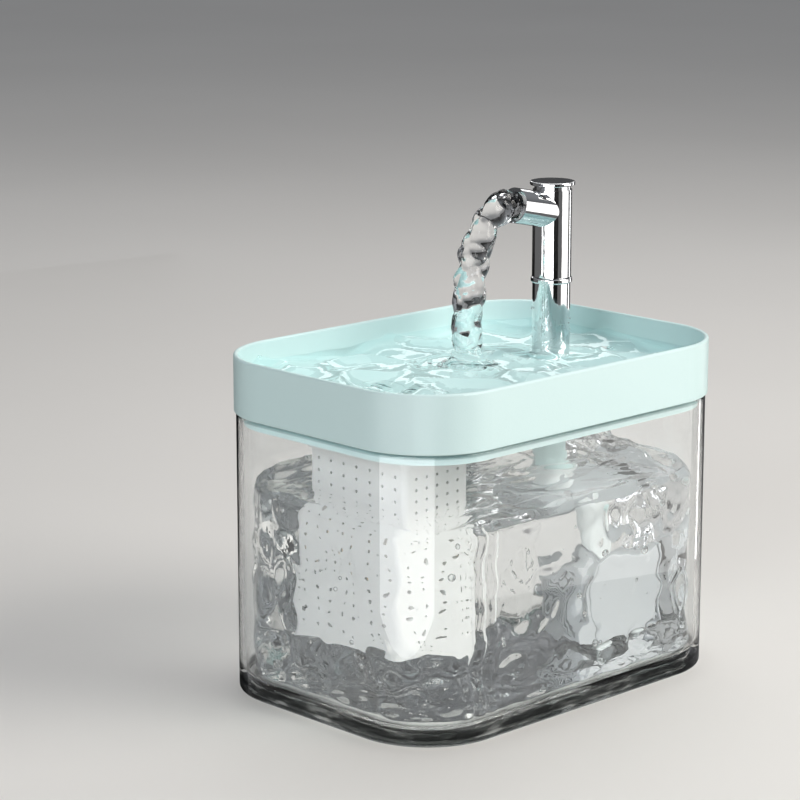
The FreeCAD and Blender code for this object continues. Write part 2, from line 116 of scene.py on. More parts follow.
class Recipe:
    """A material, made by adding nodes one at a time."""

    def __init__(self, name):
        self.material = bpy.data.materials.new(name)
        self.material.use_nodes = True
        self.tree = self.material.node_tree
        self.tree.nodes.clear()
        self.place = self.node("ShaderNodeTexCoord", result="Object")

    def node(self, kind, settings=None, sockets=(), result=0):
        """A new node of this kind, with its settings made first and then its sockets."""
        added = self.tree.nodes.new(kind)
        for name, value in (settings or {}).items():
            setattr(added, name, value)
        pairs = sockets.items() if isinstance(sockets, dict) else enumerate(sockets)
        for key, value in pairs:
            if isinstance(value, Value):
                self.tree.links.new(value.socket, added.inputs[key])
            else:
                added.inputs[key].default_value = value
        return Value(self, added.outputs[result]) if added.outputs else None

    def grain(self, size, detail=2.0, stretch=None):
        """Soft noise with features of about this size in metres, from 0 to 1."""
        where = self.place
        if stretch:
            where = self.node("ShaderNodeMapping", {}, {"Vector": self.place, "Scale": stretch})
        sockets = {"Vector": where, "Scale": 1.0 / size, "Detail": detail}
        return self.node("ShaderNodeTexNoise", {}, sockets)

    def cells(self, size):
        """Distance to the nearest of many scattered points, as a share of this size in metres."""
        return self.node("ShaderNodeTexVoronoi", {}, {"Vector": self.place, "Scale": 1.0 / size})

    def blend(self, share, first, second):
        """One colour going over into another."""
        sockets = {0: share, 6: first, 7: second}
        return self.node("ShaderNodeMix", {"data_type": "RGBA"}, sockets, result=2)

    def along(self, axis):
        """The place along X, Y or Z, in metres."""
        return self.node("ShaderNodeSeparateXYZ", {}, (self.place,), result=axis)

    def surface(self, colour, roughness, relief=None, depth=0.0, **constants):
        """The Principled surface. Constants are given by socket name with _ for a space."""
        sockets = {"Base Color": colour, "Roughness": roughness}
        if relief is not None:
            sockets["Normal"] = self.node("ShaderNodeBump", {}, {"Height": relief, "Distance": depth})
        for name, value in constants.items():
            sockets[name.replace("_", " ")] = value
        return self.node("ShaderNodeBsdfPrincipled", {}, sockets)

    def let_lamps_through(self, shader, tint):
        """Clear walls cast only a faint shadow."""
        shadow = self.node("ShaderNodeLightPath", result="Is Shadow Ray")
        way = self.node("ShaderNodeBsdfTransparent", {}, {"Color": tint})
        return self.node("ShaderNodeMixShader", {}, (shadow, shader, way))

    def finish(self, shader):
        """The finished material."""
        self.node("ShaderNodeOutputMaterial", {}, {"Surface": shader})
        return self.material


def floor_finish():
    recipe = Recipe("pale_floor")
    cloud = recipe.grain(0.4, 3.0)
    colour = recipe.blend(cloud, (0.74, 0.72, 0.69, 1), (0.79, 0.77, 0.74, 1))
    return recipe.finish(recipe.surface(colour, 0.55 + 0.1 * cloud))


def card_finish():
    recipe = Recipe("dark_card")
    cloud = recipe.grain(0.1)
    colour = recipe.blend(cloud, (0.01, 0.01, 0.01, 1), (0.03, 0.03, 0.03, 1))
    return recipe.finish(recipe.surface(colour, 0.9))


def add_mesh(name, points, faces, material, sharp=None):
    """A new object of these points and faces, smooth but for edges over this many degrees."""
    mesh = bpy.data.meshes.new(name)
    mesh.from_pydata([tuple(point) for point in points], [], faces)
    mesh.materials.append(material)
    mesh.shade_smooth()
    if sharp:
        mesh.set_sharp_from_angle(angle=math.radians(sharp))
    piece = bpy.data.objects.new(name, mesh)
    show(piece)
    return piece


def stage_point(right, away, up):
    """A point given from the tank's middle along the view's own directions, in metres."""
    turn = math.radians(camera_yaw)
    view_right = Vector((math.cos(turn), -math.sin(turn), 0.0))
    view_away = Vector((math.sin(turn), math.cos(turn), 0.0))
    return view_right * right + view_away * away + Vector((0.0, 0.0, up))


def stand_dark_card(name, right, away, half_width, half_height, material):
    """An upright dark card square to the tank, which only mirrors see."""
    across = Vector((-away, right)).normalized() * half_width
    corners = [stage_point(right + across.x * side, away + across.y * side, half_height * level)
               for side, level in ((-1, -1), (1, -1), (1, 1), (-1, 1))]
    card = add_mesh(name, corners, [(0, 1, 2, 3)], material)
    card.visible_camera = False
    card.visible_diffuse = False
    card.visible_transmission = False
    card.visible_shadow = False


floor_corners = [Vector((x * floor_half, y * floor_half, floor_top))
                 for x, y in ((-1, -1), (1, -1), (1, 1), (-1, 1))]
floor = add_mesh("floor", floor_corners, [(0, 1, 2, 3)], floor_finish())
floor.visible_glossy = False
dark_card = card_finish()
stand_dark_card("dark_card_behind", -0.56, 0.83, 0.42, 0.5, dark_card)
stand_dark_card("dark_card_in_front", 0.42, -0.90, 0.22, 0.5, dark_card)


# Soft studio light: a large key on the right of the view, a weak fill on the left and one overhead.
# Four bright cards light nothing and are only mirrored: two in front, one behind and a narrow one
# on the right. A lamp's place is its right, away and up from the tank's middle, in metres.
lamp_warm = (1.0, 0.97, 0.92)
lamp_soft = (1.0, 0.98, 0.96)
lamp_cool = (0.95, 0.97, 1.0)
lamp_white = (1.0, 1.0, 1.0)


def softbox(name, place, size, watts, colour, aim_height=0.1, mirrored_only=False, behind_glass=True):
    """An area lamp that faces the tank. Clear pieces show it through them only if behind_glass."""
    data = bpy.data.lights.new(name, "AREA")
    data.shape = "RECTANGLE"
    data.size, data.size_y = size
    data.energy = watts
    data.color = colour
    lamp = bpy.data.objects.new(name, data)
    lamp.location = stage_point(*place)
    aim = Vector((0.0, 0.0, aim_height)) - lamp.location
    lamp.rotation_euler = aim.to_track_quat("-Z", "Y").to_euler()
    lamp.visible_camera = False
    lamp.visible_diffuse = not mirrored_only
    lamp.visible_transmission = behind_glass and not mirrored_only
    show(lamp)


def bright_card(name, place, size, watts, colour, aim_height):
    """A lamp that lights nothing and is only mirrored."""
    softbox(name, place, size, watts, colour, aim_height, mirrored_only=True)


softbox("key", (1.3, -0.35, 0.95), (0.9, 0.9), 19.2, lamp_warm, behind_glass=False)
softbox("front_fill", (-0.75, -1.5, 0.8), (0.7, 0.7), 8.5, lamp_cool)
softbox("overhead", (0.1, 0.7, 1.5), (1.2, 1.2), 7.0, lamp_soft)
bright_card("left_card", (-0.62, -1.20, -0.05), (1.9, 0.8), 20.0, lamp_white, 0.0)
bright_card("right_card", (0.95, -0.10, 0.12), (0.80, 0.70), 2.6, lamp_soft, 0.12)
bright_card("back_card", (0.15, 1.6, 0.8), (1.5, 0.3), 3.0, lamp_white, 0.13)
bright_card("right_streak", (0.80, 0.62, 0.12), (0.10, 0.70), 0.8, lamp_white, 0.12)


# The room round the studio: grey below the horizon, dark just above it and pale overhead.
# Each colour stands at a height from 0, straight down, to 1, straight up.
room_strength = 0.45
room_colours = [(0.0, (0.30, 0.30, 0.30, 1)), (0.495, (0.30, 0.30, 0.30, 1)),
                (0.505, (0.035, 0.033, 0.032, 1)), (0.95, (0.80, 0.83, 0.88, 1))]

room = bpy.data.worlds.new("studio")
room.use_nodes = True
bpy.context.scene.world = room
room_nodes = room.node_tree.nodes
room_links = room.node_tree.links
room_place = room_nodes.new("ShaderNodeTexCoord")
room_split = room_nodes.new("ShaderNodeSeparateXYZ")
room_height = room_nodes.new("ShaderNodeMapRange")
room_height.inputs["From Min"].default_value = -1.0
room_ramp = room_nodes.new("ShaderNodeValToRGB")
room_stops = room_ramp.color_ramp.elements
while len(room_stops) < len(room_colours):
    room_stops.new(1.0)
for stop, (position, colour) in zip(room_stops, room_colours):
    stop.position = position
    stop.color = colour
room_links.new(room_place.outputs["Generated"], room_split.inputs[0])
room_links.new(room_split.outputs["Z"], room_height.inputs["Value"])
room_links.new(room_height.outputs[0], room_ramp.inputs[0])
room_links.new(room_ramp.outputs[0], room_nodes["Background"].inputs["Color"])
room_nodes["Background"].inputs["Strength"].default_value = room_strength
bpy.context.scene.view_settings.view_transform = "Standard"


# The water tank: a box of clear plastic, moulded in one piece with broad round corners, a thick
# floor on a raised foot ring and a rounded rim. It is redrawn here from its CAD sizes so that its
# corners are truly smooth. Its foot ring is tinted near black as painted shade for the shadowed floor
# seen through it, lightened in patches as painted glints, and a thin dark band under its rim is
# painted shade for the shadow gap below the tray.
tank_low, tank_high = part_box("water_tank")
tank_length = tank_high.x - tank_low.x
tank_width = tank_high.y - tank_low.y
tank_rim = tank_high.z
tank_corner = 35.5 * MM
tank_wall = 2.5 * MM
tank_foot = 4.0 * MM
tank_foot_width = 6.0 * MM
tank_floor = 7.0 * MM
tank_floor_round = 5.0 * MM
tank_edge_round = 0.8 * MM
tank_base_round = 1.6 * MM
tank_spacing = 2.4 * MM
tank_sharp = 40

# Where the foot ring carries its painted shade: near black, for the shadowed floor seen through it.
shade_band_inner = tank_corner - tank_foot_width
shade_band_bottom = (0.6 * MM, 1.4 * MM)
shade_band_top = (6.0 * MM, 9.5 * MM)
foot_painted_shade = (0.015, 0.017, 0.017, 1)
# A thin painted shade line just under the rim, for the shadow gap below the tray.
rim_shade_line = (tank_rim - 1.9 * MM, tank_rim - 1.1 * MM)
rim_painted_shade = (0.2, 0.33, 0.34, 1)


def rounded_outline(length, width, corner, spacing):
    """Points and outward normals round a rounded rectangle, evenly spaced and anticlockwise."""
    half_x = length / 2 - corner
    half_y = width / 2 - corner
    centres = [Vector(centre) for centre in
               ((half_x, half_y), (-half_x, half_y), (-half_x, -half_y), (half_x, -half_y))]
    quarter = corner * math.pi / 2
    lengths = [2 * half_y + quarter, 2 * half_x + quarter] * 2
    total = sum(lengths)
    count = round(total / spacing)
    outline = []
    for number in range(count):
        along = total * number / count
        side = 0
        while along > lengths[side]:
            along -= lengths[side]
            side += 1
        start = centres[side - 1]
        run = (centres[side] - start).length
        if along <= run:
            angle = side * math.pi / 2
            middle = start.lerp(centres[side], along / run)
        else:
            angle = side * math.pi / 2 + (along - run) / corner
            middle = centres[side]
        normal = Vector((math.cos(angle), math.sin(angle)))
        outline.append((middle + corner * normal, normal))
    return outline


def arc_profile(inset, height, radius, first, last, steps=5):
    """Points of a round edge in a profile of inset and height, between two angles in degrees."""
    points = []
    for step in range(steps + 1):
        angle = math.radians(first + (last - first) * step / steps)
        points.append((inset - radius * math.cos(angle), height + radius * math.sin(angle)))
    return points


def swept_rings(outline, profile):
    """One ring of points round the outline for each inset and height of the profile."""
    return [[Vector((*(point - normal * inset), height)) for point, normal in outline]
            for inset, height in profile]


def skin(name, rings, material, sharp=None, cap_first=True, cap_last=True):
    """A skin over rings of points, with a flat cap on its two ends."""
    around = len(rings[0])
    points = [point for ring in rings for point in ring]
    faces = []
    for row in range(len(rings) - 1):
        for column in range(around):
            following = (column + 1) % around
            faces.append((row * around + column, row * around + following,
                          (row + 1) * around + following, (row + 1) * around + column))
    if cap_first:
        faces.append(tuple(reversed(range(around))))
    if cap_last:
        faces.append(tuple(range((len(rings) - 1) * around, len(rings) * around)))
    return add_mesh(name, points, faces, material, sharp)


def out_from_box(recipe, half_x, half_y):
    """How far a point lies outside an upright box of these half sizes round the origin."""
    squares = []
    for axis, half in (("X", half_x), ("Y", half_y)):
        along = recipe.along(axis)
        past = along.maths("ABSOLUTE", along) - half
        past = past.maths("MAXIMUM", past, 0.0)
        squares.append(past * past)
    total = squares[0] + squares[1]
    return total.maths("SQRT", total)


def clear_plastic():
    recipe = Recipe("clear_plastic")
    haze = recipe.grain(0.03, 3.0)
    flow = recipe.grain(0.05, 1.0, (1.0, 1.0, 0.35))
    glint = recipe.grain(0.009, 2.0, (0.5, 0.5, 2.0))
    painted_glint_patches = recipe.grain(0.005, 3.0, (0.3, 0.3, 1.5))
    outward = out_from_box(recipe, tank_length / 2 - tank_corner, tank_width / 2 - tank_corner)
    height = recipe.along("Z")
    foot = outward.rise(shade_band_inner - 4 * MM, shade_band_inner - 1 * MM)
    painted_shade_band = foot * height.rise(*shade_band_bottom) * (1.0 - height.rise(*shade_band_top))
    colour = recipe.blend(haze, (0.965, 0.985, 0.985, 1), (0.99, 0.995, 0.995, 1))
    # Painted shade: the foot band goes near black, with lighter patches as painted glints.
    colour = recipe.blend(painted_shade_band * (1.0 - 0.3 * painted_glint_patches.rise(0.48, 0.66)), colour, foot_painted_shade)
    # Painted shade: a thin dark teal line just under the rim.
    colour = recipe.blend(height.rise(*rim_shade_line) * 0.75, colour, rim_painted_shade)
    relief = flow * 0.2 + glint * painted_shade_band
    shader = recipe.surface(colour, 0.008 + 0.025 * haze, relief, 2.2 * MM, IOR=1.08,
                            Transmission_Weight=1.0, Coat_Weight=1.0, Coat_IOR=1.5, Coat_Roughness=0.02)
    return recipe.finish(recipe.let_lamps_through(shader, (0.97, 0.98, 0.98, 1)))


tank_profile = (
    [(tank_foot_width, tank_foot), (tank_foot_width, 0.0)]
    + arc_profile(tank_base_round, tank_base_round, tank_base_round, -90, 0)
    + arc_profile(tank_edge_round, tank_rim - tank_edge_round, tank_edge_round, 0, 90)
    + arc_profile(tank_wall - tank_edge_round, tank_rim - tank_edge_round, tank_edge_round, 90, 180)
    + arc_profile(tank_wall + tank_floor_round, tank_floor + tank_floor_round, tank_floor_round, 0, -90)
)
tank_outline = rounded_outline(tank_length, tank_width, tank_corner, tank_spacing)
tank = skin("clear_tank", swept_rings(tank_outline, tank_profile), clear_plastic(), tank_sharp)
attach(tank, "tank")
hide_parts("water_tank")


# The tank's water: a block held a little in from the walls. Its top is ruffled and slopes, its
# sides swell like lenses between dents and upright ribs, and its underside is uneven.
# Each wave is given by its kind, its height and size in millimetres, and a seed.
water_inset = 6.2 * MM
water_bottom = 7.6 * MM
water_top = 88.5 * MM
water_spacing = 1.3 * MM
water_edge_round = 3.0 * MM
water_base_inset = 6.0 * MM
water_slope = Vector((0.008, 0.045))
slope_start = 12.0 * MM
side_rows = 64
rings_over_tank_water = 52
rings_under_tank_water = 36
seam_pitch = 3.0 * MM
merge_distance = 0.02 * MM
lip_height = 1.8 * MM
lip_fade = 15.0
ruffle_at_edge = 0.3
ruffle_growth = 12.0

dent_depth = 2.2 * MM
rib_middle = -57.0 * MM
rib_reach = 8.0 * MM
rib_pitch = 7.0 * MM
rib_depth = 1.5 * MM
rib_waver = 2.5

# Each dent is a middle point, then half its size across and up, in millimetres.
side_dents = [
    ((-89, -33, 40), 6, 3.5), ((-80, -54, 37), 8, 3.5), ((20, -61, 77), 4, 7), ((65, -61, 36), 4, 9),
    ((9, -61, 44), 5, 9), ((-89, 20, 55), 6, 8), ((-20, -61, 60), 6, 5), ((40, -61, 22), 7, 5),
    ((-89, -5, 68), 5, 6), ((-40, -61, 26), 7, 5),
]


def water_finish(name, dark, light):
    recipe = Recipe(name)
    cloud = recipe.grain(0.04)
    ripple = recipe.grain(0.006)
    colour = recipe.blend(cloud, dark, light)
    shader = recipe.surface(colour, 0.004 + 0.004 * cloud, ripple, 0.2 * MM, IOR=1.333,
                            Transmission_Weight=1.0)
    return recipe.finish(recipe.let_lamps_through(shader, (0.98, 0.99, 0.99, 1)))


def swell(point, size, seed):
    """Smooth noise from -1 to 1 with features of this size."""
    return noise.noise(point / size + Vector((seed, seed * 1.7, seed * 0.3)))


def lens(point, size, seed):
    """Low domes that meet in creases, from about -0.5 to 0.5."""
    distances, _ = noise.voronoi(point / size + Vector((seed, 0, seed)))
    return 0.5 - distances[0] * distances[0] * 1.6


def crest(point, size, seed):
    """Smooth swells with a sharp crest where they meet, from about -0.5 to 0.5."""
    ridge = 1.0 - abs(swell(point, size, seed)) * 2.2
    return ridge * abs(ridge) - 0.15


def waves(point, *layers):
    """The sum of several waves at a point, in metres."""
    return sum(height * MM * wave(point, size * MM, seed) for wave, height, size, seed in layers)


def side_wave(point):
    """How far a point of the sides stands out."""
    out = waves(point, (swell, 1.35, 30, 3.1), (swell, 1.125, 10, 8.3), (lens, 1.65, 19, 5.2))
    for (x, y, z), across, up in side_dents:
        aside = math.hypot(point.x - x * MM, point.y - y * MM) / (across * MM)
        above = (point.z - z * MM) / (up * MM)
        out -= dent_depth * math.exp(-(aside * aside + above * above) ** 2)
    if point.y < 0:
        along = point.x - rib_middle + waves(Vector((0, 0, point.z)), (swell, rib_waver, 16, 2.9))
        fade = math.exp(-(along / rib_reach) ** 2)
        out += rib_depth * fade * math.cos(2 * math.pi * along / rib_pitch)
    return out


def top_of_tank_water(point, share):
    """The top's height, from its edge at share 0 to its middle line at share 1."""
    stretched = Vector((point.x * 0.55, point.y, 0.0))
    ruffle = waves(point, (swell, 1.5, 34, 1.3))
    ruffle += waves(stretched, (crest, 1.5, 13, 6.1), (swell, 0.45, 4.5, 2.2))
    lip = lip_height * math.exp(-share * lip_fade)
    return water_top + lip + ruffle * min(1.0, share * ruffle_growth + ruffle_at_edge)


def bottom_wave(point):
    """How far a point of the underside is lifted."""
    return 0.55 * MM + waves(point, (swell, 0.7, 9, 6.6), (swell, 0.25, 3.5, 1.6))


def block_of_water(name, outline, reach, rows, side, top, rings_over, rings_under, material):
    """A closed block: rows up its sides, then rings that close over its top and under it.

    The rings close on a middle line that reaches this far each way along X."""
    rings = []

    def seam(point):
        """The place on the middle line where the rings' points near this one meet."""
        nearest = round(point.x / seam_pitch) * seam_pitch
        return Vector((max(-reach, min(reach, nearest)), 0.0, point.z))

    for height, inset in rows:
        ring = []
        for point, normal in outline:
            here = Vector((*(point - normal * inset), height))
            push = side(here) if side else 0.0
            ring.append(here + Vector((*normal, 0)) * push)
        rings.append(ring)
    under = rings[0]
    edge = rings[-1]
    for step in range(1, rings_under + 1):
        ring = []
        for point in under:
            here = point.lerp(seam(point), step / rings_under)
            ring.append(here + Vector((0.0, 0.0, bottom_wave(here))))
        rings.insert(0, ring)
    for step in range(1, rings_over + 1):
        share = step / rings_over
        ring = []
        for point in edge:
            here = point.lerp(seam(point), share)
            ring.append(Vector((here.x, here.y, top(here, share))))
        rings.append(ring)
    piece = skin(name, rings, material, cap_first=not rings_under, cap_last=False)
    shape = bmesh.new()
    shape.from_mesh(piece.data)
    bmesh.ops.remove_doubles(shape, verts=shape.verts, dist=merge_distance)
    shape.to_mesh(piece.data)
    shape.free()
    return piece


def round_steps(*angles):
    """What a quarter round still has to go at each angle in degrees: one way, then the other."""
    turns = [math.radians(angle) for angle in angles]
    return [(water_edge_round * (1 - math.sin(turn)), water_edge_round * (1 - math.cos(turn)))
            for turn in turns]


water_length = tank_length - 2 * water_inset
water_width = tank_width - 2 * water_inset
water_outline = rounded_outline(water_length, water_width, tank_corner - water_inset, water_spacing)
side_bottom = water_bottom + water_edge_round
side_height = water_top - water_edge_round - side_bottom
water_rows = [(water_bottom, water_base_inset), (water_bottom, water_edge_round)]
water_rows += [(water_bottom + up, inset) for inset, up in round_steps(25, 50, 75)]
water_rows += [(side_bottom + side_height * row / side_rows, 0.0) for row in range(side_rows + 1)]
water_rows += [(water_top - down, inset) for down, inset in round_steps(20, 40, 60, 80)]

water = water_finish("clear_water", (0.97, 0.985, 0.985, 1), (0.995, 1.0, 1.0, 1))
tank_water = block_of_water("tank_water", water_outline, water_length / 2 - water_width / 2, water_rows,
                            side_wave, top_of_tank_water, rings_over_tank_water,
                            rings_under_tank_water, water)
for point in tank_water.data.vertices:
    share = (point.co.z - slope_start) / (water_top - slope_start)
    point.co.z += max(0.0, share) * water_slope.dot(point.co.xy)
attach(tank_water, "tank")


# The drinking tray and its drain strainer: mint plastic, moulded with a satin face. The tray drops
# onto the tank's rim, and the strainer lies loose in the tray's floor. Both keep their CAD shapes.
def mint_plastic():
    recipe = Recipe("mint_plastic")
    cloud = recipe.grain(0.05)
    grain = recipe.grain(0.0007)
    colour = recipe.blend(cloud, (0.65, 0.84, 0.835, 1), (0.69, 0.87, 0.865, 1))
    shader = recipe.surface(colour, 0.30 + 0.1 * grain, grain, 0.04 * MM, Coat_Weight=0.06,
                            Coat_Roughness=0.2)
    return recipe.finish(shader)


def dress(material, *names):
    """Put a finish in the material slot of each CAD piece named."""
    for name in names:
        for place in nodes[name].material_slots:
            place.material = material


dress(mint_plastic(), "drinking_tray", "drain_strainer")


# The tray's water: it runs right up to the tray's walls and reaches a hair's breadth into them.
# Rings run out from where the stream lands, over a slow choppy swell, and it is a little mint.
tray_low, tray_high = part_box("drinking_tray")
tray_wall = 2.0 * MM
tray_corner = 36.4 * MM
tray_overlap = 0.3 * MM
tray_water_level = 136.8 * MM
tray_water_bottom = 123.2 * MM
tray_water_shoulder = 6.0 * MM
tray_water_spacing = 1.2 * MM
rings_over_tray_water = 60
landing = Vector((-4.3, 0.0, 0.0)) * MM
splash_height = 0.8 * MM
splash_pitch = 2.6 * MM
splash_reach = 22.0 * MM
tray_dip = 2.0 * MM


def top_of_tray_water(point, _):
    """The height of the tray's water at a point. It dips towards the faucet's end."""
    away = math.hypot(point.x - landing.x, point.y - landing.y)
    splash = splash_height * math.cos(away / splash_pitch) * math.exp(-away / splash_reach)
    chop = waves(point, (crest, 3.4, 32, 4.4), (swell, 1.6, 20, 9.1), (lens, 1.2, 23, 2.7),
                 (swell, 0.12, 5, 3.3))
    return tray_water_level + splash + chop - tray_dip * max(0.0, point.x / tray_high.x)


tray_water_length = (tray_high.x - tray_low.x) - 2 * (tray_wall - tray_overlap)
tray_water_width = (tray_high.y - tray_low.y) - 2 * (tray_wall - tray_overlap)
tray_water_outline = rounded_outline(tray_water_length, tray_water_width, tray_corner - tray_wall,
                                     tray_water_spacing)
tray_water_rows = [(tray_water_bottom, 0.0), (tray_water_level - tray_water_shoulder, 0.0),
                   (tray_water_level, 0.0)]
tray_water = block_of_water("tray_water", tray_water_outline,
                            tray_water_length / 2 - tray_water_width / 2, tray_water_rows, None,
                            top_of_tray_water, rings_over_tray_water, 0,
                            water_finish("tray_water", (0.70, 0.79, 0.80, 1), (0.75, 0.83, 0.84, 1)))
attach(tray_water, "tray")


# The faucet: a lower tube that stands in the tray, a joint ring, an upper tube with its spout, a
# ring in the mouth and a flat cap. They are metal tubes, polished and chrome plated.
def chrome_plating():
    recipe = Recipe("chrome_plating")
    smear = recipe.grain(0.012, 3.0)
    colour = recipe.blend(smear, (0.80, 0.81, 0.82, 1), (0.88, 0.88, 0.89, 1))
    return recipe.finish(recipe.surface(colour, 0.03 + 0.05 * smear, smear, 0.1 * MM, Metallic=1.0))


dress(chrome_plating(), "faucet_post", "swivel_ring", "spout_column", "mouth_ring", "spout_cap")


# The stream: a lumpy rope of water that leaves the spout a little upwards, bends over and falls
# into the tray, where it spreads in a low cone. It turns with the spout.
# Each point of its path is X, Z and its radius, in millimetres.
stream_path = [
    (36.0, 199.5, 5.0), (29.0, 201.0, 5.2), (23.4, 202.1, 5.5), (17.5, 202.3, 5.9),
    (11.5, 200.2, 5.9), (6.6, 196.0, 5.6), (3.2, 189.8, 5.8), (0.2, 183.2, 6.6),
    (-2.0, 176.5, 6.0), (-3.2, 169.0, 6.5), (-3.7, 161.0, 6.0), (-4.0, 153.0, 6.4),
    (-4.2, 147.0, 5.8), (-4.3, 143.0, 5.6), (-4.3, 140.4, 6.8), (-4.3, 138.0, 9.5),
    (-4.3, 135.6, 12.5),
]
stream_around = 72
stream_steps = 14
spout_mouth = 24.0
free_of_spout = 6.0


def smooth_run(points, steps):
    """A Catmull-Rom line through points of any width, with this many steps between two."""
    run = []
    for number in range(len(points) - 1):
        before = points[max(number - 1, 0)]
        first = points[number]
        second = points[number + 1]
        after = points[min(number + 2, len(points) - 1)]
        for step in range(steps):
            t = step / steps
            run.append([0.5 * (2 * b + (c - a) * t + (2 * a - 5 * b + 4 * c - d) * t * t
                               + (3 * b - a - 3 * c + d) * t ** 3)
                        for a, b, c, d in zip(before, first, second, after)])
    run.append(list(points[-1]))
    return run


def stream_rings():
    """Rings of points along the stream, smooth in the spout and lumpy outside it."""
    line = smooth_run(stream_path, stream_steps)
    across = Vector((0.0, 1.0, 0.0))
    rings = []
    for number, (x, z, radius) in enumerate(line):
        ahead = line[min(number + 1, len(line) - 1)]
        behind = line[max(number - 1, 0)]
        forward = Vector((ahead[0] - behind[0], 0.0, ahead[1] - behind[1])).normalized()
        outward = forward.cross(across)
        centre = Vector((x, 0.0, z)) * MM
        free = min(1.0, max(0.0, (spout_mouth - x) / free_of_spout))
        ring = []
        for step in range(stream_around):
            angle = 2 * math.pi * step / stream_around
            way = across * math.cos(angle) + outward * math.sin(angle)
            here = centre + way * radius * MM
            lump = waves(here, (swell, 1.4, 9, 7.7), (lens, 1.7, 7.5, 1.9), (swell, 0.35, 3.5, 4.1))
            ring.append(here + way * lump * free)
        rings.append(ring)
    return rings


stream = skin("water_stream", stream_rings(), water)
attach(stream, "spout")


# The overflow trickle: a thin thread of water from the small hole in the tray down to the tank's
# water, thicker where it leaves and where it lands. It wavers a little on the way.
# Each point of its path is X, Y, Z and its radius, in millimetres.
trickle_path = [
    (80.0, -5.0, 123.0, 2.0), (80.1, -5.0, 119.5, 1.3), (80.4, -5.2, 114.0, 1.0),
    (80.2, -5.0, 108.0, 1.2), (80.6, -5.3, 102.0, 0.9), (80.3, -5.0, 96.5, 1.2),
    (80.4, -5.1, 92.0, 1.8), (80.4, -5.1, 88.0, 4.5),
]
trickle_around = 20
trickle_steps = 8


def trickle_rings():
    """Rings of points along the trickle, from its foot up."""
    rings = []
    for x, y, z, radius in reversed(smooth_run(trickle_path, trickle_steps)):
        ring = []
        for step in range(trickle_around):
            angle = 2 * math.pi * step / trickle_around
            way = Vector((math.cos(angle), math.sin(angle), 0.0))
            here = Vector((x, y, z)) * MM + way * radius * MM
            ring.append(here + way * waves(here, (swell, 0.3, 3.5, 5.5)))
        rings.append(ring)
    return rings


trickle = skin("overflow_trickle", trickle_rings(), water)
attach(trickle, "tray")


# Bubbles and drops: small beads strewn over a surface. Air bubbles hang in the tank's water just
# inside its sides and top. Splashed drops lie round the landing stream and on the faucet's foot.
# The block's half sizes and how far the bubbles stand in at its sides are in millimetres.
block_half_length = 89.0
block_half_width = 61.0
bubble_inset = 0.9
wall_steepness = 0.7
faucet_axis = Vector((47.5, 0.0, 0.0)) * MM


def bead_tree():
    """A node group that strews beads of mixed sizes over the surface it is given."""
    tree = bpy.data.node_groups.new("strewn_beads", "GeometryNodeTree")
    plugs = {}
    for name, kind in (("Surface", "Geometry"), ("Density", "Float"), ("Seed", "Int"),
                       ("Smallest", "Float"), ("Largest", "Float"), ("Lift", "Float"),
                       ("Finish", "Material")):
        socket = tree.interface.new_socket(name=name, in_out="INPUT", socket_type="NodeSocket" + kind)
        plugs[name] = socket.identifier
    tree.interface.new_socket(name="Beads", in_out="OUTPUT", socket_type="NodeSocketGeometry")
    add = tree.nodes.new
    link = tree.links.new
    given = add("NodeGroupInput")
    spread = add("GeometryNodeDistributePointsOnFaces")
    link(given.outputs["Surface"], spread.inputs["Mesh"])
    link(given.outputs["Density"], spread.inputs["Density"])
    link(given.outputs["Seed"], spread.inputs["Seed"])
    lift = add("FunctionNodeRandomValue")
    lift.data_type = "FLOAT"
    link(given.outputs["Lift"], lift.inputs[3])
    link(given.outputs["Seed"], lift.inputs["Seed"])
    offset = add("ShaderNodeVectorMath")
    offset.operation = "SCALE"
    link(spread.outputs["Normal"], offset.inputs[0])
    link(lift.outputs[1], offset.inputs["Scale"])
    shift = add("GeometryNodeSetPosition")
    link(spread.outputs["Points"], shift.inputs["Geometry"])
    link(offset.outputs[0], shift.inputs["Offset"])
    bead = add("GeometryNodeMeshIcoSphere")
    bead.inputs["Radius"].default_value = 1.0
    bead.inputs["Subdivisions"].default_value = 3
    size = add("FunctionNodeRandomValue")
    size.data_type = "FLOAT"
    link(given.outputs["Smallest"], size.inputs[2])
    link(given.outputs["Largest"], size.inputs[3])
    place = add("GeometryNodeInstanceOnPoints")
    link(shift.outputs["Geometry"], place.inputs["Points"])
    link(bead.outputs["Mesh"], place.inputs["Instance"])
    link(size.outputs[1], place.inputs["Scale"])
    real = add("GeometryNodeRealizeInstances")
    link(place.outputs["Instances"], real.inputs["Geometry"])
    smooth = add("GeometryNodeSetShadeSmooth")
    link(real.outputs["Geometry"], smooth.inputs["Geometry"])
    finish = add("GeometryNodeSetMaterial")
    link(smooth.outputs["Geometry"], finish.inputs["Geometry"])
    link(given.outputs["Finish"], finish.inputs["Material"])
    link(finish.outputs["Geometry"], add("NodeGroupOutput").inputs["Beads"])
    return tree, plugs


bead_group, bead_plugs = bead_tree()


